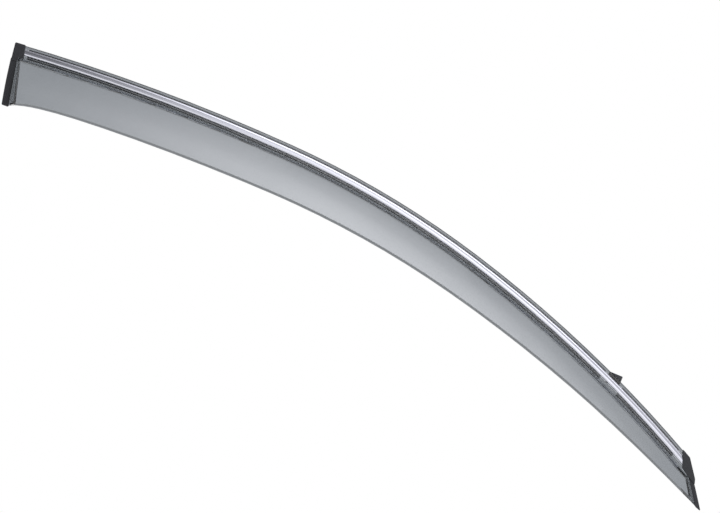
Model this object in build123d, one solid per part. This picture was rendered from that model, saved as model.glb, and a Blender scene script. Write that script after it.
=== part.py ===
"""Side window rain deflector for a right-hand front door.

It has a tinted blade, a bright trim strip, two end caps, a clip tab and tapes with release films.
Sizes are in millimetres and angles in degrees. X runs to the front of the car, Y inboard and Z up.
A place is given by s, the distance along the upper edge from its rear end, by n, the distance inward
from that edge, and by a depth: out(d) is d outward from the back of the flange, and Y = 0 is the face
that meets the door.
"""
from build123d import *
import math
import os

# upper edge: three arcs in one plane, each tangent to the next
REAR_HEADING = -0.77
RAIL_RADIUS = 2400
RAIL_LENGTH = 338
BEND_RADIUS = 1100
BEND_LENGTH = 247
PILLAR_RADIUS = 1500
PILLAR_LENGTH = 332

# lower edge: its distance from the upper edge, a flare at the rear corner and a lift at the front tip
BLADE_WIDTH = 63.2
FRONT_WIDTH = 35.4
TAPER_POWER = 2.4
FLARE_WIDTH = 13.0
FLARE_RUN = 26
TIP_LIFT = 0.35
TIP_RUN = 40

# ends of the blade
REAR_LEAN = 3.3
FRONT_RAKE = 61.6
REAR_RIM = 5.1
REAR_RIM_FAN = 1.5
FRONT_RIM = 3.7

# section of the blade
WALL = 2.5
FLANGE_WIDTH = 15.0
SHOULDER_HEIGHT = 8.0
PANEL_LEAN = 20
PANEL_BULGE = 1.5
DRAFT = 12.5
SHOULDER_RADIUS = 5.0
END_RADIUS = 2.6
LIP_DEPTH = 5.0
LIP_BEVEL = 3.2

# trim strip, the rail it grips and the ridges beside it
TRIM_CENTRE = 7.8
TRIM_WIDTH = 7.1
TRIM_SIDE = 1.5
TRIM_CROWN = 1.0
TRIM_SHEET = 0.45
TRIM_ROUND = 0.7
TRIM_HOOK = 1.6
TRIM_OVERRUN = 1.2
GROOVE_WIDTH = 8.9
GROOVE_DEPTH = 0.9
RAIL_HEAD_WIDTH = 4.5
RAIL_NECK_WIDTH = 3.0
RAIL_NECK_HEIGHT = 0.8
RAIL_HEIGHT = 1.35
RIDGE_HEIGHT = 1.0
RIDGE_INSET = 0.15

# adhesive foam tape and its release film
TAPE_THICKNESS = 1.0
LINER_THICKNESS = 0.1
TAPE_CENTRE = 8.35
TAPE_WIDTH = 14.6
REAR_TAPE_MARGIN = 3.0
FRONT_TAPE_MARGIN = 1.0
CLIP_MARGIN = 2.0

# clip tab behind the flange and the posts it is staked on
CLIP_SETBACK = 114
CLIP_RISE = 5.9
CLIP_TILT = -7
CLIP_WIDTH = 16.5
CLIP_HEIGHT = 13.5
CLIP_SHEET = 0.6
CLIP_ROUND = 1.0
STAKE_DIAMETER = 2.4
STAKE_PITCH = 6.0
STAKE_HEAD_DIAMETER = 3.8
STAKE_HEAD_HEIGHT = 0.4

# end caps
CAP_FACE = 1.4
CAP_PROUD = 0.8
CAP_BACK = 0.8
CAP_GRIP = 2.6
CAP_ROUND = 0.8
CAP_GAP = 0.2
BLOCK_FACE = 3.0
FOOT_HEIGHT = 2.4
REAR_BLOCK_WALL = 1.3
REAR_LEG_WALL = 1.9
REAR_BULGE = 1.0
REAR_CORNER = 1.4
REAR_BLOCK_TOP = 11.0
REAR_BLOCK_FOOT = 13.4
REAR_BLOCK_INNER = 17.0
REAR_BLOCK_OUTER = 17.6
REAR_BLOCK_LOW = 20.0
REAR_FOOT_DROP = -0.8
REAR_FOOT_SLANT = 0.4
FRONT_BLOCK_WALL = 3.4
FRONT_LEG_WALL = 1.3
FRONT_BULGE = 0.2
FRONT_CORNER = 0.8
FRONT_BLOCK_TOP = -7.0
FRONT_BLOCK_FOOT = 9.5
FRONT_BLOCK_INNER = 14.0
FRONT_BLOCK_OUTER = 10.4
FRONT_BLOCK_LOW = 15.2
FRONT_FOOT_DROP = 1.0
FRONT_FOOT_SLANT = 1.5
CLEARANCE = 0.1
NOSE_SKIN = 0.03

# worked out from the sizes above
LENGTH = RAIL_LENGTH + BEND_LENGTH + PILLAR_LENGTH
CLIP_STATION = LENGTH - CLIP_SETBACK
TAPE_START = REAR_BLOCK_FOOT + REAR_TAPE_MARGIN
TAPE_STOP = LENGTH - FRONT_TAPE_MARGIN
BEHIND_CLIP = CLIP_STATION - CLIP_WIDTH - CLIP_MARGIN
BEFORE_CLIP = CLIP_STATION + CLIP_HEIGHT / 2 + CLIP_MARGIN
STAND_OFF = TAPE_THICKNESS + LINER_THICKNESS
HULL_REACH = BLADE_WIDTH + FLARE_WIDTH + 18
OVERSHOOT = 70
INBOARD = Vector(0, 1, 0)


def out(distance):
    """Y of a place that far outward from the back of the flange."""
    return -STAND_OFF - distance


def tangent(heading):
    """Unit vector along the upper edge."""
    return Vector(math.cos(math.radians(heading)), 0, math.sin(math.radians(heading)))


def inward(heading):
    """Unit vector from the upper edge into the blade."""
    return Vector(math.sin(math.radians(heading)), 0, -math.cos(math.radians(heading)))


def upper_arcs():
    """Each arc of the upper edge as (start, radius, centre, heading at its start)."""
    arcs = []
    start, heading, place = 0, REAR_HEADING, Vector(0, 0, 0)
    sizes = ((RAIL_RADIUS, RAIL_LENGTH), (BEND_RADIUS, BEND_LENGTH), (PILLAR_RADIUS, PILLAR_LENGTH))
    for radius, length in sizes:
        centre = place + inward(heading) * radius
        arcs.append((start, radius, centre, heading))
        start += length
        heading -= math.degrees(length / radius)
        place = centre - inward(heading) * radius
    return arcs


ARCS = upper_arcs()


def arc_and_heading(s):
    """The arc that holds station s, and the heading there."""
    arc = [one for one in ARCS if one[0] <= max(s, 0)][-1]
    return arc, arc[3] - math.degrees((s - arc[0]) / arc[1])


def raw_place(s, n):
    """Place at station s and inward distance n, from the rear end of the upper edge."""
    arc, heading = arc_and_heading(s)
    return arc[2] - inward(heading) * (arc[1] - n)


ORIGIN = raw_place(LENGTH / 2, TAPE_CENTRE)


def at(s, n, y=0):
    """Place at station s, inward distance n and depth y in the part's frame."""
    return raw_place(s, n) - ORIGIN + INBOARD * y


def plane_at(s):
    """Section plane at station s, with n as its x and depth as its y."""
    heading = arc_and_heading(s)[1]
    return Plane(at(s, 0), x_dir=inward(heading), z_dir=tangent(heading))


def run(s0, s1, n):
    """Arcs that follow the upper edge at inward distance n."""
    breaks = [s0] + [arc[0] for arc in ARCS if s0 < arc[0] < s1] + [s1]
    return [ThreePointArc(at(a, n), at((a + b) / 2, n), at(b, n)) for a, b in zip(breaks, breaks[1:])]


def slab(edges, y0, y1):
    """Solid with the outline in the edges, between two depths."""
    face = make_face(edges).face()
    return extrude(face.moved(Location(INBOARD * y0)), amount=y1 - y0, dir=INBOARD)


def strip(s0, s1, n0, n1, y0, y1):
    """Flat band along the upper edge between two stations, two inward distances and two depths."""
    ends = [Line(at(s0, n0), at(s0, n1)), Line(at(s1, n0), at(s1, n1))]
    return slab(run(s0, s1, n0) + run(s0, s1, n1) + ends, y0, y1)


def swept(face, s0, s1):
    """Solid of a section drawn in n and depth, carried along the upper edge."""
    return sweep(plane_at(s0) * face, path=Wire(run(s0, s1, 0)))


def box_section(n0, n1, d0, d1):
    """Rectangle in a section plane between two inward distances and two distances outward."""
    corners = [(n0, out(d0)), (n1, out(d0)), (n1, out(d1)), (n0, out(d1))]
    return make_face(Polyline(*corners, close=True)).face()


def width_at(s):
    """Distance from the upper to the lower edge."""
    share = max(s, 0) / LENGTH
    taper = (BLADE_WIDTH - FRONT_WIDTH) * share ** TAPER_POWER
    flare = FLARE_WIDTH * math.exp(-s / FLARE_RUN)
    lift = TIP_LIFT * math.exp((s - LENGTH) / TIP_RUN)
    return BLADE_WIDTH - taper + flare - lift


def above_lower_edge(inset):
    """Prism that holds everything above the lower edge, moved up by the inset."""
    s0, s1, top, count = -12, LENGTH + OVERSHOOT, -40, 14
    stations = [s0 + (s1 - s0) * (i / count) ** 1.4 for i in range(count + 1)]
    lower = Spline(*[at(s, width_at(s) - inset) for s in stations])
    ends = [Line(at(s, top), at(s, width_at(s) - inset)) for s in (s0, s1)]
    return slab(run(s0, s1, top) + [lower] + ends, 20, out(60))


def end_plane(foot, angle, forward, draft=0.0):
    """Plane through a falling line in the flange's face, with its normal into the blade."""
    line = tangent(-angle)
    across = line.cross(INBOARD) * (-1 if forward else 1)
    tilt = math.radians(draft)
    normal = across * math.cos(tilt) + INBOARD * math.sin(tilt)
    return Plane(foot + INBOARD * out(WALL), x_dir=line, z_dir=normal)


def end_planes():
    """The blade's own rear and front ends."""
    rear = end_plane(at(0, 0), 90 - REAR_LEAN, False)
    front = end_plane(at(LENGTH, 0), FRONT_RAKE, True)
    return rear, front


def wall_planes():
    """Outer faces of the return walls that close the blade at each end."""
    rear, front = end_planes()
    rear_foot = on_end(rear, FLANGE_WIDTH, REAR_RIM)
    front_foot = at(LENGTH, 0) + front.z_dir * FRONT_RIM
    rear_wall = end_plane(rear_foot, 90 - REAR_LEAN - REAR_RIM_FAN, False, DRAFT)
    front_wall = end_plane(front_foot, FRONT_RAKE, True, DRAFT)
    return rear_wall, front_wall


def between(solid, planes, inset=0.0):
    """The part of a solid inside both end planes, each moved in by the inset."""
    for plane in planes:
        solid = split(solid, bisect_by=plane.offset(inset), keep=Keep.TOP)
    return solid


def hull(inset, corner):
    """Solid under the bulged panel: riser, shoulder and panel, all moved in by the inset."""
    lean = math.tan(math.radians(PANEL_LEAN))
    draft = math.tan(math.radians(DRAFT))
    panel_drop = inset / math.cos(math.radians(PANEL_LEAN))
    riser_shift = inset / math.cos(math.radians(DRAFT))
    top = (riser_shift + (SHOULDER_HEIGHT - panel_drop) * draft) / (1 - lean * draft)

    def panel(n):
        return WALL + SHOULDER_HEIGHT - panel_drop + n * lean

    foot = -WALL - 3
    reach = HULL_REACH - FLANGE_WIDTH
    riser_low = (FLANGE_WIDTH + riser_shift + (foot - WALL) * draft, out(foot))
    shoulder = (FLANGE_WIDTH + top, out(panel(top)))
    middle = (FLANGE_WIDTH + (top + reach) / 2, out(panel((top + reach) / 2) + PANEL_BULGE))
    panel_low = (FLANGE_WIDTH + reach, out(panel(reach)))
    foot_low = (FLANGE_WIDTH + reach, out(foot))
    outline = [Line(riser_low, shoulder), ThreePointArc(shoulder, middle, panel_low)]
    outline += [Line(panel_low, foot_low), Line(foot_low, riser_low)]
    face = make_face(outline)
    shoulder_corner = face.vertices().sort_by_distance(Vector(*shoulder))[0]
    return swept(fillet(shoulder_corner, corner).face(), -OVERSHOOT / 2, LENGTH + OVERSHOOT)


def lower_edges(body):
    """Edges where the panel's outer face meets the face cut along the lower edge."""
    deepest = out(WALL + SHOULDER_HEIGHT)
    cut_face = body.faces().sort_by(SortBy.AREA).filter_by(GeomType.EXTRUSION)[-1]
    long_edges = [edge for edge in cut_face.edges() if edge.length > OVERSHOOT]
    return [edge for edge in long_edges if edge.position_at(0.5).Y < deepest]


def end_edges(body, wall):
    """Edges round a return wall, apart from those at the foot of the hull."""
    flat_faces = body.faces().filter_by(GeomType.PLANE)
    face = min(flat_faces, key=lambda flat: flat.normal_at().dot(wall.z_dir))
    return [edge for edge in face.edges() if edge.position_at(0.5).Y < out(0)]


def panel_body():
    """Outer form of the panel with its bevelled lower edge and rounded ends."""
    rear_wall, front_wall = wall_planes()
    body = hull(0, SHOULDER_RADIUS) & above_lower_edge(0)
    body = chamfer(lower_edges(body), LIP_BEVEL)
    body = split(body, bisect_by=rear_wall, keep=Keep.TOP)
    body = fillet(end_edges(body, rear_wall), END_RADIUS)
    nose = split(hull(-NOSE_SKIN, SHOULDER_RADIUS), bisect_by=front_wall, keep=Keep.TOP)
    return body & fillet(end_edges(nose, front_wall), END_RADIUS)


def station_on_end(plane, n, inset):
    """Station where an end line, moved in by the inset, is n inward of the upper edge."""
    s = 0 if plane.z_dir.X > 0 else LENGTH
    for _ in range(6):
        gap = (at(s, n, out(WALL)) - plane.origin).dot(plane.z_dir) - inset
        s -= gap / tangent(arc_and_heading(s)[1]).dot(plane.z_dir)
    return s


def on_end(plane, n, inset):
    """Place where an end line, moved in by the inset, is n inward of the upper edge."""
    return at(station_on_end(plane, n, inset), n)


def rim_depth(end):
    """Inward distance at which an end line meets the lower edge."""
    depth = FRONT_WIDTH
    for _ in range(12):
        depth = width_at(station_on_end(end, depth, 0))
    return depth


def end_strip(end, n0, n1, y0, y1, inset):
    """Band along the upper edge that starts at an end line, moved in by the inset."""
    s = 0 if end.z_dir.X > 0 else LENGTH
    band = strip(s - OVERSHOOT / 2, s + OVERSHOOT, n0, n1, y0, y1)
    return split(band, bisect_by=end.offset(inset), keep=Keep.TOP)


def ridge_places():
    """Each ridge beside the trim as (upper n, lower n, first station, last station)."""
    half = GROOVE_WIDTH / 2
    upper = (RIDGE_INSET, TRIM_CENTRE - half - RIDGE_INSET)
    lower = (TRIM_CENTRE + half + RIDGE_INSET, FLANGE_WIDTH - RIDGE_INSET)
    upper_run = (REAR_BLOCK_TOP / 2, LENGTH - CAP_PROUD)
    lower_run = (REAR_BLOCK_FOOT - CAP_PROUD, LENGTH + FRONT_BLOCK_FOOT + CAP_PROUD)
    return upper + upper_run, lower + lower_run


def ridge(n0, n1, s0, s1):
    """Rounded ridge on the flange's face."""
    base = WALL - RIDGE_HEIGHT
    left, right = (n0, out(WALL)), (n1, out(WALL))
    crown = ThreePointArc(left, ((n0 + n1) / 2, out(WALL + RIDGE_HEIGHT)), right)
    foot = Polyline(right, (n1, out(base)), (n0, out(base)), left)
    return swept(make_face([crown] + foot.edges()).face(), s0, s1)


def rim_plate():
    """Flat flange in the blade's whole outline, with the end rims cut short for the caps' feet."""
    plate = strip(-OVERSHOOT / 2, LENGTH + OVERSHOOT, 0, HULL_REACH, out(0), out(WALL))
    plate = between(plate & above_lower_edge(0), end_planes())
    for end, wall in zip(end_planes(), wall_planes()):
        foot = end_strip(end, rim_depth(end) - FOOT_HEIGHT, HULL_REACH, out(0), out(WALL), 0)
        plate -= split(foot, bisect_by=wall, keep=Keep.BOTTOM)
    return plate


def trim_ends(overrun):
    """Stations of square ends across the trim: in the rear end, and past the front end by the overrun."""
    rear, front = end_planes()
    upper, lower = TRIM_CENTRE - TRIM_WIDTH / 2, TRIM_CENTRE + TRIM_WIDTH / 2
    return station_on_end(rear, lower, CLEARANCE), station_on_end(front, upper, -overrun)


def trim_rail():
    """Undercut rail in the flange that the trim grips."""
    floor = WALL - GROOVE_DEPTH
    head = RAIL_HEAD_WIDTH / 2
    neck = RAIL_NECK_WIDTH / 2
    top = floor + RAIL_HEIGHT
    section = box_section(TRIM_CENTRE - neck, TRIM_CENTRE + neck, floor / 2, top)
    section += box_section(TRIM_CENTRE - head, TRIM_CENTRE + head, floor + RAIL_NECK_HEIGHT, top)
    return swept(section.face(), *trim_ends(-CLEARANCE))


def trim_groove():
    """Recess in the flange's face round the trim."""
    half = GROOVE_WIDTH / 2
    floor = WALL - GROOVE_DEPTH
    section = box_section(TRIM_CENTRE - half, TRIM_CENTRE + half, floor, WALL + GROOVE_DEPTH)
    return swept(section, -OVERSHOOT / 2, LENGTH + OVERSHOOT)


def clip_plane():
    """Back of the flange at the clip's upper front corner, tilted as the clip is."""
    corner = at(CLIP_STATION, -CLIP_RISE, out(0))
    return Plane(corner, x_dir=tangent(CLIP_TILT), z_dir=INBOARD)


def stake_places():
    """Centres of the two posts, in the clip's own plane."""
    middle = CLIP_WIDTH * 0.55
    drop = CLIP_HEIGHT * 0.74
    return [(-middle - STAKE_PITCH / 2, drop), (-middle + STAKE_PITCH / 2, drop)]


def stakes():
    """Posts on the flange's back, with heads spread over the clip."""
    posts = []
    height = CLIP_SHEET + STAKE_HEAD_HEIGHT / 2
    for place in stake_places():
        post = extrude(Pos(*place) * Circle(STAKE_DIAMETER / 2), amount=height)
        spread = Pos(place[0], place[1], CLIP_SHEET) * Circle(STAKE_HEAD_DIAMETER / 2)
        top = extrude(spread, amount=STAKE_HEAD_HEIGHT, taper=45)
        posts.append(clip_plane() * (post + top))
    return posts


def make_blade():
    """Moulded blade: flange with ridges, panel shell, return walls, lip, trim rail and stakes."""
    walls = wall_planes()
    hollow = between(hull(WALL, SHOULDER_RADIUS - WALL) & above_lower_edge(WALL), walls, WALL)
    mouth = between(hull(LIP_DEPTH, SHOULDER_RADIUS), walls, WALL)
    blade = rim_plate() + panel_body() - hollow - mouth
    blade = split(blade, bisect_by=Plane(INBOARD * out(0), z_dir=INBOARD), keep=Keep.BOTTOM)
    blade = blade - trim_groove() + trim_rail()
    for place in ridge_places():
        blade += ridge(*place)
    for post in stakes():
        blade += post
    return blade


def trim_outline(inset):
    """Outline of the trim's section, moved in by the inset: flat base, two sides and a crowned face."""
    half = TRIM_WIDTH / 2
    radius = (half ** 2 + TRIM_CROWN ** 2) / (2 * TRIM_CROWN)
    base = WALL - GROOVE_DEPTH
    centre = base + TRIM_SIDE + TRIM_CROWN - radius
    side = centre + math.sqrt((radius - inset) ** 2 - (half - inset) ** 2)
    low_left, low_right = [(TRIM_CENTRE + sign * (half - inset), out(base + inset)) for sign in (-1, 1)]
    left, right = [(TRIM_CENTRE + sign * (half - inset), out(side)) for sign in (-1, 1)]
    crown = (TRIM_CENTRE, out(centre + radius - inset))
    edges = [Line(left, low_left), Line(low_left, low_right), Line(low_right, right)]
    return make_face(edges + [ThreePointArc(left, crown, right)])


def make_trim():
    """Bright strip rolled to a hooked channel."""
    base = WALL - GROOVE_DEPTH
    gap = TRIM_WIDTH / 2 - TRIM_HOOK
    slot = box_section(TRIM_CENTRE - gap, TRIM_CENTRE + gap, base - TRIM_SHEET, base + TRIM_SHEET * 1.5)
    outside = trim_outline(0)
    shown_corners = outside.vertices().sort_by(Axis.Y)[:2]
    section = fillet(shown_corners, TRIM_ROUND) - trim_outline(TRIM_SHEET) - slot
    return swept(section.face(), *trim_ends(TRIM_OVERRUN))


def rounded_block(places, outer, corner, y0, y1):
    """Prism through places, closed by an arc past the outer place, with round corners and front edge."""
    sides = Polyline(*places).edges() + [ThreePointArc(places[-1], outer, places[0])]
    prism = slab(sides, y0, y1)
    prism = fillet(prism.edges().filter_by(Axis.Y), corner)
    return fillet(prism.faces().sort_by(Axis.Y)[0].edges(), CAP_ROUND)


def cap_hollow(end):
    """What an end cap is hollowed by: the rim, the ends of the trim and ridges, and the open back."""
    floor = rim_depth(end) - FOOT_HEIGHT
    half = TRIM_WIDTH / 2 + CLEARANCE
    crown = WALL - GROOVE_DEPTH + TRIM_SIDE + TRIM_CROWN + CLEARANCE
    rim = end_strip(end, -CLEARANCE, floor, out(0), out(WALL), -CLEARANCE)
    start, stop = trim_ends(TRIM_OVERRUN + CLEARANCE)
    trim_end = strip(start - CLEARANCE, stop, TRIM_CENTRE - half, TRIM_CENTRE + half, out(0), out(crown))
    back = end_strip(end, CAP_GRIP, floor, out(0), -out(0), CAP_GRIP)
    hollows = [rim, trim_end, back]
    ridge_top = WALL + RIDGE_HEIGHT + CLEARANCE
    for n0, n1, s0, s1 in ridge_places():
        low, high = n0 - CLEARANCE, n1 + CLEARANCE
        hollows.append(strip(s0 - CLEARANCE, s1 + CLEARANCE, low, high, out(0), out(ridge_top)))
    return hollows


def end_cap(end, wall, walls, bulge, corner, top, inner, shelf, foot):
    """Cap for one end: a block over the trim's end and a leg down the rim to a solid foot.

    Its outer side bulges between the top and the foot, and steps in from the block's wall to the leg's
    between the two shelf distances. The block's inner corner is a station and an inward distance. The
    foot is given by how far it drops past the lower edge and how far its outer corner lies above that.
    """
    back = out(-CAP_BACK)
    block_wall, leg_wall = walls
    low = rim_depth(end) + foot[0]
    tip = low - foot[1]

    def outer(n, thickness):
        share = max(n, 0) / low
        return on_end(end, n, -thickness - bulge * 4 * share * (1 - share))

    block_places = [outer(-CAP_PROUD, block_wall), at(top, -CAP_PROUD), at(*inner)]
    block_places += [on_end(wall, shelf[1], -CAP_GAP), outer(shelf[1], leg_wall), outer(shelf[0], block_wall)]
    leg_places = [outer(inner[1], leg_wall), on_end(wall, inner[1], -CAP_GAP)]
    leg_places += [on_end(wall, low, -CAP_GAP), outer(tip, leg_wall)]
    block_side = outer(shelf[0] / 2, block_wall)
    leg_side = outer((inner[1] + tip) / 2, leg_wall)
    cap = rounded_block(block_places, block_side, corner, back, out(WALL + BLOCK_FACE))
    cap += rounded_block(leg_places, leg_side, corner, back, out(WALL + CAP_FACE))
    for hollow in cap_hollow(end):
        cap -= hollow
    return cap - between(hull(-CLEARANCE, SHOULDER_RADIUS), wall_planes(), -CLEARANCE)


def make_rear_cap():
    """Cap for the rear end."""
    end, wall = end_planes()[0], wall_planes()[0]
    walls = (REAR_BLOCK_WALL, REAR_LEG_WALL)
    inner = (REAR_BLOCK_FOOT, REAR_BLOCK_INNER)
    shelf = (REAR_BLOCK_OUTER, REAR_BLOCK_LOW)
    foot = (REAR_FOOT_DROP, REAR_FOOT_SLANT)
    return end_cap(end, wall, walls, REAR_BULGE, REAR_CORNER, REAR_BLOCK_TOP, inner, shelf, foot)


def make_front_cap():
    """Cap for the pointed front end."""
    end, wall = end_planes()[1], wall_planes()[1]
    walls = (FRONT_BLOCK_WALL, FRONT_LEG_WALL)
    top = LENGTH + FRONT_BLOCK_TOP
    inner = (LENGTH + FRONT_BLOCK_FOOT, FRONT_BLOCK_INNER)
    shelf = (FRONT_BLOCK_OUTER, FRONT_BLOCK_LOW)
    foot = (FRONT_FOOT_DROP, FRONT_FOOT_SLANT)
    return end_cap(end, wall, walls, FRONT_BULGE, FRONT_CORNER, top, inner, shelf, foot)


def make_clip():
    """Flat clip tab with round corners and two holes for the stakes."""
    blank = Pos(-CLIP_WIDTH / 2, CLIP_HEIGHT / 2) * RectangleRounded(CLIP_WIDTH, CLIP_HEIGHT, CLIP_ROUND)
    for place in stake_places():
        blank -= Pos(*place) * Circle(STAKE_DIAMETER / 2 + CLEARANCE)
    return clip_plane() * extrude(blank, amount=CLIP_SHEET)


def tape_band(start, stop, y0, y1):
    """Band of the tape's width, with each end given by its stations on the upper and the lower side."""
    upper, lower = TAPE_CENTRE - TAPE_WIDTH / 2, TAPE_CENTRE + TAPE_WIDTH / 2
    sides = run(start[0], stop[0], upper) + run(start[1], stop[1], lower)
    ends = [Line(at(end[0], upper), at(end[1], lower)) for end in (start, stop)]
    return slab(sides + ends, y0, y1)


def tape_ends():
    """Ends of both tapes: square, apart from the last, which follows the front cap's block."""
    rear = (TAPE_START, TAPE_START), (BEHIND_CLIP, BEHIND_CLIP)
    front = (BEFORE_CLIP, BEFORE_CLIP), (TAPE_STOP + FRONT_BLOCK_TOP, TAPE_STOP + FRONT_BLOCK_FOOT)
    return rear, front


def make_tapes():
    """Foam tapes on the back of the flange."""
    return [tape_band(*ends, out(0), -LINER_THICKNESS) for ends in tape_ends()]


def make_liners():
    """Release films over the faces of the tapes."""
    return [tape_band(*ends, -LINER_THICKNESS, 0) for ends in tape_ends()]


rear_tape, front_tape = make_tapes()
rear_liner, front_liner = make_liners()
pieces = {
    "visor_blade": make_blade(),
    "trim_strip": make_trim(),
    "rear_end_cap": make_rear_cap(),
    "front_end_cap": make_front_cap(),
    "clip_tab": make_clip(),
    "rear_tape": rear_tape,
    "front_tape": front_tape,
    "rear_tape_liner": rear_liner,
    "front_tape_liner": front_liner,
}
os.makedirs("parts", exist_ok=True)
for name, piece in pieces.items():
    export_step(piece, "parts/" + name + ".step")
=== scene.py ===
"""Looks of a side window rain deflector: tinted blade, bright trim, black end caps, clip and tapes.

Everything is in metres in the part's own frame: X to the front of the car, Y inboard and Z up.
Sizes of the strips on the upper edge are in millimetres, as in the part's source.
"""
import math
import bpy
from mathutils import Matrix, Vector


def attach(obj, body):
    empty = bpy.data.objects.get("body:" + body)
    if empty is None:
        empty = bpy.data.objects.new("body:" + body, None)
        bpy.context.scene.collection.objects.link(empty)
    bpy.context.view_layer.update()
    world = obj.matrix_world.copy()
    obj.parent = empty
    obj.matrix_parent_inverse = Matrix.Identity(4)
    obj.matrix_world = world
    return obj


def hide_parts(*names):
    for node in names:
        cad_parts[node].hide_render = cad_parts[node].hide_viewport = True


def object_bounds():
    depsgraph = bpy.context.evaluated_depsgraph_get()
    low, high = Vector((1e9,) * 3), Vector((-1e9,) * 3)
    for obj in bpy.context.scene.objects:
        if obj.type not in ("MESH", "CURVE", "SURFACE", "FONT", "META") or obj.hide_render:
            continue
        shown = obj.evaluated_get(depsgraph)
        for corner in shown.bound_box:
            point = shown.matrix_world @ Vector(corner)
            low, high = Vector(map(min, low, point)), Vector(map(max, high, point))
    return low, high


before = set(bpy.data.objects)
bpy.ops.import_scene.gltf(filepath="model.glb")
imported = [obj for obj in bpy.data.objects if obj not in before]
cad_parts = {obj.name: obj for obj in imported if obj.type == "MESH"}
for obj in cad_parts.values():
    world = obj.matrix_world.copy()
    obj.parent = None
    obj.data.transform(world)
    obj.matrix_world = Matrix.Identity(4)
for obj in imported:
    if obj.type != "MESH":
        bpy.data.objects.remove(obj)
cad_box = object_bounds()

MM = 0.001

# upper edge of the blade, as in the part's source: its first heading in degrees, and each arc's
# radius and length
EDGE_HEADING = -0.77
EDGE_ARCS = ((2400, 338), (1100, 247), (1500, 332))
EDGE_LENGTH = sum(length for _, length in EDGE_ARCS)
TAPE_CENTRE = 8.35

# tape and film as they show: behind the trim and the inner sides of the ridges beside it
STRIP_CENTRE = 7.9
STRIP_WIDTH = 11.6
STRIP_STEP = 8
REAR_ENDS = (16.4, 784.5)
FRONT_ENDS = (811.75, 908.0)
FOAM_LAYER = (-1.1, -0.1)
FOAM_EDGE = 0.2
FILM_LAYER = (-0.1, 0.0)
FILM_EDGE = 0.03


def linear(code):
    """An sRGB hex colour as linear RGBA."""
    levels = [int(code[i:i + 2], 16) / 255 for i in (1, 3, 5)]
    return [v / 12.92 if v <= 0.04045 else ((v + 0.055) / 1.055) ** 2.4 for v in levels] + [1.0]


def add(tree, kind, inputs=None, **settings):
    """Adds a node with its settings; an input takes a value or the output socket that feeds it."""
    node = tree.nodes.new(kind)
    for name, value in settings.items():
        setattr(node, name, value)
    for name, value in (inputs or {}).items():
        if isinstance(value, bpy.types.NodeSocket):
            tree.links.new(value, node.inputs[name])
        else:
            node.inputs[name].default_value = value
    return node


def new_material(name):
    """An empty node material and its tree."""
    material = bpy.data.materials.new(name)
    material.use_nodes = True
    material.node_tree.nodes.clear()
    return material, material.node_tree


def per_metre(size_mm):
    """Noise scale whose features are that many millimetres across."""
    return 1 / (size_mm * MM)


def smoked_acrylic():
    """Injection-moulded acrylic with a smoke dye and a clear hard coat.

    It is grey and glossy with faint flow waves, and darker where light passes more of it. The coat
    is left off the steep walls, where it would sparkle.
    """
    material, tree = new_material("smoked_acrylic_moulded")
    place = add(tree, "ShaderNodeTexCoord").outputs["Object"]
    haze = add(tree, "ShaderNodeTexNoise", {"Vector": place, "Scale": per_metre(9), "Detail": 4.0})
    rough = add(tree, "ShaderNodeMapRange", {
        "Value": haze.outputs["Fac"], "To Min": 0.0, "To Max": 0.02})
    flow = add(tree, "ShaderNodeTexNoise", {"Vector": place, "Scale": per_metre(60), "Detail": 1.0})
    wave = add(tree, "ShaderNodeBump", {
        "Height": flow.outputs["Fac"], "Distance": 0.02 * MM, "Strength": 0.6})
    dye = add(tree, "ShaderNodeMix", {
        "Factor": flow.outputs["Fac"], "A": linear("#9FA3A8"), "B": linear("#A5A9AD")},
        data_type="RGBA")
    tilt = add(tree, "ShaderNodeLayerWeight", {"Blend": 0.5})
    coat = add(tree, "ShaderNodeMapRange", {
        "Value": tilt.outputs["Facing"],
        "From Min": 0.15, "From Max": 0.45, "To Min": 1.0, "To Max": 0.0})
    shader = add(tree, "ShaderNodeBsdfPrincipled", {
        "Base Color": dye.outputs["Result"], "IOR": 1.49, "Transmission Weight": 1.0,
        "Roughness": rough.outputs["Result"], "Normal": wave.outputs["Normal"],
        "Coat Weight": coat.outputs["Result"], "Coat Roughness": 0.02, "Coat IOR": 1.6})
    depth = add(tree, "ShaderNodeVolumeAbsorption", {
        "Color": linear("#536678"), "Density": 100.0})
    add(tree, "ShaderNodeOutputMaterial", {
        "Surface": shader.outputs["BSDF"], "Volume": depth.outputs["Volume"]})
    return material


def bright_steel():
    """Bright-rolled stainless strip: a clear mirror with a slight haze from the rolls."""
    material, tree = new_material("bright_stainless_rolled")
    place = add(tree, "ShaderNodeTexCoord").outputs["Object"]
    haze = add(tree, "ShaderNodeTexNoise", {"Vector": place, "Scale": per_metre(4), "Detail": 3.0})
    rough = add(tree, "ShaderNodeMapRange", {
        "Value": haze.outputs["Fac"], "To Min": 0.10, "To Max": 0.18})
    shader = add(tree, "ShaderNodeBsdfPrincipled", {
        "Base Color": linear("#DCDDE6"), "Metallic": 1.0, "Roughness": rough.outputs["Result"]})
    add(tree, "ShaderNodeOutputMaterial", {"Surface": shader.outputs["BSDF"]})
    return material


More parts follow.
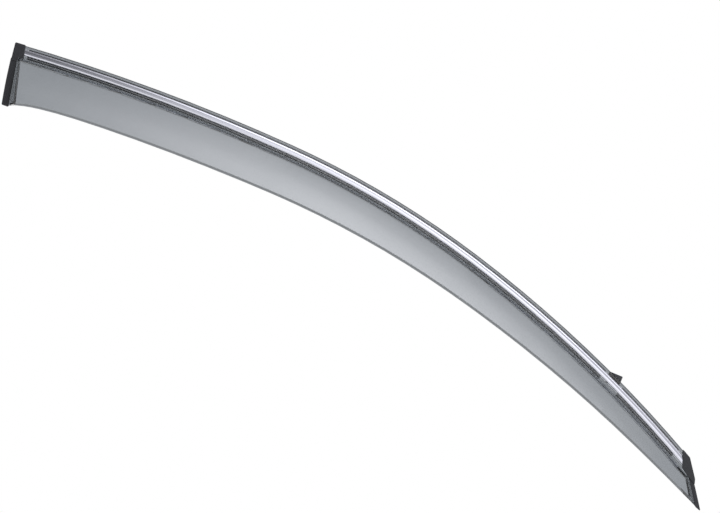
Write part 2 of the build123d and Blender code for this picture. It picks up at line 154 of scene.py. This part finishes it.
def black_moulding():
    """Injection-moulded ASA in black: satin, with a fine spark-eroded grain from the mould."""
    material, tree = new_material("black_asa_moulded")
    place = add(tree, "ShaderNodeTexCoord").outputs["Object"]
    # real grain is about 0.1 mm; 0.5 mm is drawn so that it shows
    grain = add(tree, "ShaderNodeTexNoise", {
        "Vector": place, "Scale": per_metre(0.5), "Detail": 2.0})
    rough = add(tree, "ShaderNodeMapRange", {
        "Value": grain.outputs["Fac"], "To Min": 0.38, "To Max": 0.55})
    bump = add(tree, "ShaderNodeBump", {
        "Height": grain.outputs["Fac"], "Distance": 0.05 * MM, "Strength": 0.5})
    shader = add(tree, "ShaderNodeBsdfPrincipled", {
        "Base Color": linear("#25262A"), "IOR": 1.5, "Roughness": rough.outputs["Result"],
        "Normal": bump.outputs["Normal"]})
    add(tree, "ShaderNodeOutputMaterial", {"Surface": shader.outputs["BSDF"]})
    return material


def black_spring_steel():
    """Spring steel with a black oxide and oil finish: dark, slightly mottled sheen."""
    material, tree = new_material("black_oxide_spring_steel")
    place = add(tree, "ShaderNodeTexCoord").outputs["Object"]
    mottle = add(tree, "ShaderNodeTexNoise", {
        "Vector": place, "Scale": per_metre(2), "Detail": 5.0})
    colour = add(tree, "ShaderNodeMix", {
        "Factor": mottle.outputs["Fac"], "A": linear("#232428"), "B": linear("#37393D")},
        data_type="RGBA")
    rough = add(tree, "ShaderNodeMapRange", {
        "Value": mottle.outputs["Fac"], "To Min": 0.32, "To Max": 0.5})
    shader = add(tree, "ShaderNodeBsdfPrincipled", {
        "Base Color": colour.outputs["Result"], "IOR": 1.5, "Roughness": rough.outputs["Result"]})
    add(tree, "ShaderNodeOutputMaterial", {"Surface": shader.outputs["BSDF"]})
    return material


def foam_tape():
    """Closed-cell acrylic foam in black: matt, with fine open pores along its cut edge, and painted
    shade down in each pore.
    """
    material, tree = new_material("black_acrylic_foam")
    place = add(tree, "ShaderNodeTexCoord").outputs["Object"]
    # real cells are about 0.1 mm; 0.35 mm is drawn so that they show
    cells = add(tree, "ShaderNodeTexVoronoi", {"Vector": place, "Scale": per_metre(0.35)})
    bump = add(tree, "ShaderNodeBump", {
        "Height": cells.outputs["Distance"], "Distance": 0.08 * MM, "Strength": 0.7})
    # painted shade: the colour is darker down in each pore, where the bump sinks the surface
    colour = add(tree, "ShaderNodeMix", {
        "Factor": cells.outputs["Distance"], "A": linear("#16171A"), "B": linear("#26272B")},
        data_type="RGBA")
    shader = add(tree, "ShaderNodeBsdfPrincipled", {
        "Base Color": colour.outputs["Result"], "Roughness": 0.85,
        "Normal": bump.outputs["Normal"]})
    add(tree, "ShaderNodeOutputMaterial", {"Surface": shader.outputs["BSDF"]})
    return material


def release_film():
    """Red polyester release film: glossy, with long shallow ripples from the roll."""
    material, tree = new_material("red_polyester_film")
    place = add(tree, "ShaderNodeTexCoord").outputs["Object"]
    ripple = add(tree, "ShaderNodeTexNoise", {
        "Vector": place, "Scale": per_metre(14), "Detail": 2.0})
    bump = add(tree, "ShaderNodeBump", {
        "Height": ripple.outputs["Fac"], "Distance": 0.4 * MM, "Strength": 0.5})
    colour = add(tree, "ShaderNodeMix", {
        "Factor": ripple.outputs["Fac"], "A": linear("#A8161B"), "B": linear("#C4252A")},
        data_type="RGBA")
    shader = add(tree, "ShaderNodeBsdfPrincipled", {
        "Base Color": colour.outputs["Result"], "Roughness": 0.22, "IOR": 1.58,
        "Normal": bump.outputs["Normal"]})
    add(tree, "ShaderNodeOutputMaterial", {"Surface": shader.outputs["BSDF"]})
    return material


def dress(material, *nodes):
    """Gives CAD nodes a material in place of their packed one."""
    for name in nodes:
        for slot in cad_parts[name].material_slots:
            slot.material = material


def follow_edge(s, n):
    """Point at distance s along the upper edge and n inward from it, from the edge's first corner."""
    heading, point, left = math.radians(EDGE_HEADING), Vector((0, 0, 0)), s
    inward = Vector((math.sin(heading), 0, -math.cos(heading)))
    for radius, length in EDGE_ARCS:
        centre = point + inward * radius
        step = min(left, length)
        heading -= step / radius
        left -= step
        inward = Vector((math.sin(heading), 0, -math.cos(heading)))
        point = centre - inward * radius
    return point + inward * n


def edge_place(s, n, y):
    """Place in the part's frame at distance s along the upper edge, n inward from it and depth y."""
    origin = follow_edge(EDGE_LENGTH / 2, TAPE_CENTRE)
    return (follow_edge(s, n) - origin + Vector((0, y, 0))) * MM


def strip_tree():
    """Geometry Nodes that carry a flat strip with round edges along a path."""
    tree = bpy.data.node_groups.new("strip_along_edge", "GeometryNodeTree")
    tree.is_modifier = True
    tree.interface.new_socket("Path", in_out="INPUT", socket_type="NodeSocketGeometry")
    for name in ("Width", "Thickness", "Edge Radius"):
        tree.interface.new_socket(name, in_out="INPUT", socket_type="NodeSocketFloat")
    tree.interface.new_socket("Finish", in_out="INPUT", socket_type="NodeSocketMaterial")
    tree.interface.new_socket("Strip", in_out="OUTPUT", socket_type="NodeSocketGeometry")
    given = add(tree, "NodeGroupInput").outputs
    section = add(tree, "GeometryNodeCurvePrimitiveQuadrilateral", {
        "Width": given["Thickness"], "Height": given["Width"]})
    eased = add(tree, "GeometryNodeFilletCurve", {
        "Curve": section.outputs["Curve"], "Radius": given["Edge Radius"], "Count": 3}, mode="POLY")
    level = add(tree, "GeometryNodeSetCurveNormal", {"Curve": given["Path"]}, mode="Z_UP")
    swept = add(tree, "GeometryNodeCurveToMesh", {
        "Curve": level.outputs["Curve"], "Profile Curve": eased.outputs["Curve"],
        "Fill Caps": True})
    real = add(tree, "GeometryNodeRealizeInstances", {"Geometry": swept.outputs["Mesh"]})
    finish = add(tree, "GeometryNodeSetMaterial", {
        "Geometry": real.outputs["Geometry"], "Material": given["Finish"]})
    add(tree, "NodeGroupOutput", {"Strip": finish.outputs["Geometry"]})
    return tree


def lay_strip(name, tree, ends, layer, edge, material, node):
    """Strip along the upper edge between two stations and two depths, in place of a CAD node."""
    length = ends[1] - ends[0]
    count = round(length / STRIP_STEP)
    path = bpy.data.curves.new(name + "_path", "CURVE")
    path.dimensions = "3D"
    spline = path.splines.new("POLY")
    spline.points.add(count)
    for i, point in enumerate(spline.points):
        point.co = [*edge_place(ends[0] + length * i / count, STRIP_CENTRE, sum(layer) / 2), 1]
    carrier = bpy.data.objects.new(name + "_path", path)
    bpy.context.scene.collection.objects.link(carrier)
    nodes = carrier.modifiers.new("strip", "NODES")
    nodes.node_group = tree
    sizes = {
        "Width": STRIP_WIDTH * MM, "Thickness": (layer[1] - layer[0]) * MM,
        "Edge Radius": edge * MM, "Finish": material}
    for item in tree.interface.items_tree:
        if item.name in sizes:
            nodes[item.identifier] = sizes[item.name]
    made = carrier.evaluated_get(bpy.context.evaluated_depsgraph_get())
    mesh = bpy.data.meshes.new_from_object(made)
    bpy.data.objects.remove(carrier)
    strip = bpy.data.objects.new(name, mesh)
    bpy.context.scene.collection.objects.link(strip)
    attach(strip, "root")
    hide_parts(node)


def stage_plane(name, corners, material):
    """Flat studio surface that isn't part of the object."""
    mesh = bpy.data.meshes.new(name)
    mesh.from_pydata(corners, [], [(0, 1, 2, 3)])
    mesh.materials.append(material)
    plane = bpy.data.objects.new(name, mesh)
    bpy.context.scene.collection.objects.link(plane)
    return plane


def shown_white(tree):
    """Output that is 1 for what the camera sees straight, in a mirror or through something clear."""
    path = add(tree, "ShaderNodeLightPath")
    clear = add(tree, "ShaderNodeMath", {
        0: path.outputs["Is Glossy Ray"], 1: path.outputs["Is Transmission Ray"]},
        operation="MAXIMUM")
    shown = add(tree, "ShaderNodeMath", {
        0: clear.outputs[0], 1: path.outputs["Is Camera Ray"]}, operation="MAXIMUM")
    return shown.outputs[0]


def make_floor():
    """Pale floor well under the part, which keeps its soft shadow."""
    drop, side, back, white_share = 0.3, 8, 1, 0.75
    material, tree = new_material("pale_floor")
    share = add(tree, "ShaderNodeMath", {
        0: shown_white(tree), 1: white_share}, operation="MULTIPLY")
    white = add(tree, "ShaderNodeEmission", {"Color": linear("#FFFFFF"), "Strength": 1.0})
    matt = add(tree, "ShaderNodeBsdfDiffuse", {"Color": linear("#F2F2F2")})
    mix = add(tree, "ShaderNodeMixShader", {
        "Fac": share.outputs[0], 1: matt.outputs["BSDF"], 2: white.outputs["Emission"]})
    add(tree, "ShaderNodeOutputMaterial", {"Surface": mix.outputs["Shader"]})
    z = cad_box[0].z - drop
    stage_plane("floor", [(-side, -side, z), (side, -side, z), (side, back, z), (-side, back, z)],
                material)


def make_world():
    """White for the camera and for what metal and acrylic show, and a plain soft light otherwise."""
    world = bpy.data.worlds.new("white_studio")
    bpy.context.scene.world = world
    world.use_nodes = True
    tree = world.node_tree
    tree.nodes.clear()
    strength = add(tree, "ShaderNodeMapRange", {
        "Value": shown_white(tree), "To Min": 0.55, "To Max": 1.0})
    light = add(tree, "ShaderNodeBackground", {
        "Color": linear("#FFFFFF"), "Strength": strength.outputs["Result"]})
    add(tree, "ShaderNodeOutputWorld", {"Surface": light.outputs["Background"]})


def make_front_panel():
    """Graduated panel before the part, which only its gloss shows.

    It is grey towards both sides and the top, with an arched soft light in it.
    """
    side, y, bottom, top = 1.8, -1.5, -1.6, 2.2
    arch_centre, light_middle = (-0.4, y, -1.865), 0.45
    material, tree = new_material("graduated_panel")
    place = add(tree, "ShaderNodeTexCoord").outputs["Object"]
    split = add(tree, "ShaderNodeSeparateXYZ", {"Vector": place}).outputs
    left = add(tree, "ShaderNodeMapRange", {
        "Value": split["X"], "From Min": -0.5, "From Max": 0.0, "To Min": 0.25, "To Max": 1.5},
        interpolation_type="SMOOTHSTEP")
    right = add(tree, "ShaderNodeMapRange", {
        "Value": split["X"], "From Min": 0.1, "From Max": 0.6, "To Min": 1.0, "To Max": 0.5},
        interpolation_type="SMOOTHSTEP")
    fall = add(tree, "ShaderNodeMapRange", {
        "Value": split["Z"], "From Min": -0.6, "From Max": 1.0, "To Min": 1.25, "To Max": 0.45})
    sides = add(tree, "ShaderNodeMath", {
        0: left.outputs["Result"], 1: right.outputs["Result"]}, operation="MULTIPLY")
    base = add(tree, "ShaderNodeMath", {
        0: sides.outputs[0], 1: fall.outputs["Result"]}, operation="MULTIPLY")
    # the light lies along an arc of a large circle, and fades to both sides of its middle
    aside = add(tree, "ShaderNodeMath", {0: split["X"], 1: light_middle}, operation="SUBTRACT")
    apart = add(tree, "ShaderNodeMath", {0: aside.outputs[0]}, operation="ABSOLUTE")
    along = add(tree, "ShaderNodeMapRange", {
        "Value": apart.outputs[0],
        "From Min": 0.1, "From Max": 1.15, "To Min": 2.75, "To Max": 0.0},
        interpolation_type="SMOOTHSTEP")
    reach = add(tree, "ShaderNodeVectorMath", {0: place, 1: arch_centre}, operation="DISTANCE")
    crest = add(tree, "ShaderNodeMapRange", {
        "Value": reach.outputs["Value"], "From Min": 3.47, "From Max": 3.17})
    rise = add(tree, "ShaderNodeMath", {0: crest.outputs["Result"], 1: 0.6}, operation="POWER")
    arch = add(tree, "ShaderNodeMath", {
        0: rise.outputs[0], 1: along.outputs["Result"]}, operation="MULTIPLY")
    glow = add(tree, "ShaderNodeMapRange", {
        "Value": reach.outputs["Value"],
        "From Min": 2.85, "From Max": 3.1, "To Min": 0.0, "To Max": arch.outputs[0]},
        interpolation_type="SMOOTHSTEP")
    total = add(tree, "ShaderNodeMath", {
        0: base.outputs[0], 1: glow.outputs["Result"]}, operation="ADD")
    light = add(tree, "ShaderNodeEmission", {
        "Color": linear("#FBFBFF"), "Strength": total.outputs[0]})
    add(tree, "ShaderNodeOutputMaterial", {"Surface": light.outputs["Emission"]})
    corners = [(-side, y, bottom), (side, y, bottom), (side, y, top), (-side, y, top)]
    panel = stage_plane("front_panel", corners, material)
    panel.visible_camera = False
    panel.visible_diffuse = False
    panel.visible_transmission = False
    panel.visible_shadow = False


def make_cards():
    """Cards above, below and at both ends, behind the part's face.

    Each has one strength where the part mirrors it and another where it is seen through acrylic.
    """
    near, far, side, top, low = 0.05, 5.0, 1.5, 0.5, -0.55
    cards = {
        "upper_card": (0.35, 0.7, [
            (-side, near, top), (side, near, top), (side, far, top), (-side, far, top)]),
        "lower_card": (1.0, 0.3, [
            (-side, near, low), (side, near, low), (side, far, low), (-side, far, low)]),
        "rear_card": (0.5, 0.8, [
            (-side, near, low), (-side, far, low), (-side, far, top), (-side, near, top)]),
        "front_card": (0.5, 0.8, [
            (side, near, low), (side, far, low), (side, far, top), (side, near, top)])}
    for name, (mirrored, through, corners) in cards.items():
        material, tree = new_material(name)
        path = add(tree, "ShaderNodeLightPath")
        strength = add(tree, "ShaderNodeMapRange", {
            "Value": path.outputs["Is Transmission Ray"], "To Min": mirrored, "To Max": through})
        light = add(tree, "ShaderNodeEmission", {
            "Color": linear("#FFFFFF"), "Strength": strength.outputs["Result"]})
        add(tree, "ShaderNodeOutputMaterial", {"Surface": light.outputs["Emission"]})
        card = stage_plane(name, corners, material)
        card.visible_camera = False
        card.visible_diffuse = False
        card.visible_shadow = False


def make_lamp(name, place, target, size, power):
    """Large soft lamp that faces the target and isn't itself mirrored in the part."""
    lamp = bpy.data.lights.new(name, "AREA")
    lamp.shape = "RECTANGLE"
    lamp.size, lamp.size_y = size
    lamp.energy = power
    lit = bpy.data.objects.new(name, lamp)
    lit.location = place
    lit.rotation_mode = "QUATERNION"
    lit.rotation_quaternion = (Vector(target) - Vector(place)).to_track_quat("-Z", "Y")
    lit.visible_glossy = False
    lit.visible_transmission = False
    bpy.context.scene.collection.objects.link(lit)


def make_camera():
    """Camera square to the flange, rolled as the photograph is."""
    roll, width, distance = math.radians(15.5), 0.8264, 10.0
    target = Vector((-0.00675, -0.004, -0.0693))
    right = Vector((math.cos(roll), 0, math.sin(roll)))
    up = Vector((-math.sin(roll), 0, math.cos(roll)))
    back = Vector((0, -1, 0))
    lens = bpy.data.cameras.new("camera")
    lens.sensor_width = 36
    lens.lens = lens.sensor_width * distance / width
    lens.clip_end = 100
    camera = bpy.data.objects.new("camera", lens)
    turn = Matrix((right, up, back)).transposed().to_4x4()
    camera.matrix_world = Matrix.Translation(target + back * distance) @ turn
    bpy.context.scene.collection.objects.link(camera)
    bpy.context.scene.camera = camera


dress(smoked_acrylic(), "visor_blade")
dress(bright_steel(), "trim_strip")
dress(black_moulding(), "rear_end_cap", "front_end_cap")
dress(black_spring_steel(), "clip_tab")
foam, film = foam_tape(), release_film()
tree = strip_tree()
lay_strip("rear_foam", tree, REAR_ENDS, FOAM_LAYER, FOAM_EDGE, foam, "rear_tape")
lay_strip("front_foam", tree, FRONT_ENDS, FOAM_LAYER, FOAM_EDGE, foam, "front_tape")
lay_strip("rear_film", tree, REAR_ENDS, FILM_LAYER, FILM_EDGE, film,
          "rear_tape_liner")
lay_strip("front_film", tree, FRONT_ENDS, FILM_LAYER, FILM_EDGE, film,
          "front_tape_liner")

make_camera()
make_world()
make_floor()
make_front_panel()
make_cards()
make_lamp("front_softbox", place=(0.25, -1.6, 0.85), target=(0.0, 0.0, -0.05),
          size=(0.9, 0.5), power=18)
bpy.context.scene.view_settings.view_transform = "Standard"
